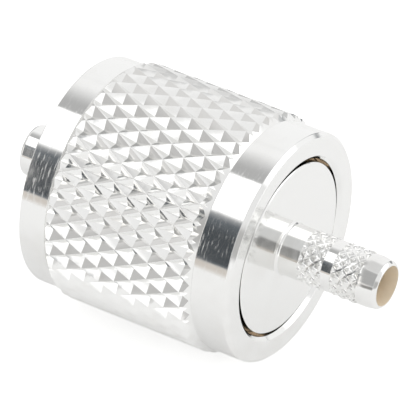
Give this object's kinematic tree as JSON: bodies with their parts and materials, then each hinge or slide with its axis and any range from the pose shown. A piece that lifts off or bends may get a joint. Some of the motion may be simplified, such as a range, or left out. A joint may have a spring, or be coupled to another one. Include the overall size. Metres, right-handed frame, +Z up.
{
  "type": "uhf crimp plug",
  "caption": "Round coaxial plug with a diamond-knurled coupling nut, a solid centre pin in front and a knurled crimp tube behind.",
  "frame": {"origin": "on the plug's axis, in the front face of the body's flange, where the jack's rim seats", "axes": "+X along the axis towards the crimp tube, so the centre pin points to -X; +Z up, with the plug lying on its side"},
  "size_m": [0.0304, 0.0182, 0.0182],
  "materials": {
    "nut_nickel": "bright nickel plate on turned and knurled brass",
    "body_nickel": "bright nickel plate on turned brass",
    "spring_bronze": "plain spring bronze",
    "white_insulator": "smooth white insulator",
    "contact_nickel": "bright nickel plate on turned brass"
  },
  "bodies": {
    "plug_body": {"body": "body_nickel", "retaining_ring": "spring_bronze", "insulator": "white_insulator", "centre_contact": "contact_nickel"},
    "nut": {"coupling_nut": "nut_nickel"}
  },
  "joints": [
    {"name": "nut_spin", "type": "hinge", "parent": "plug_body", "child": "nut", "pos_m": [0, 0, 0], "axis": [1, 0, 0], "continuous": true}
  ]
}
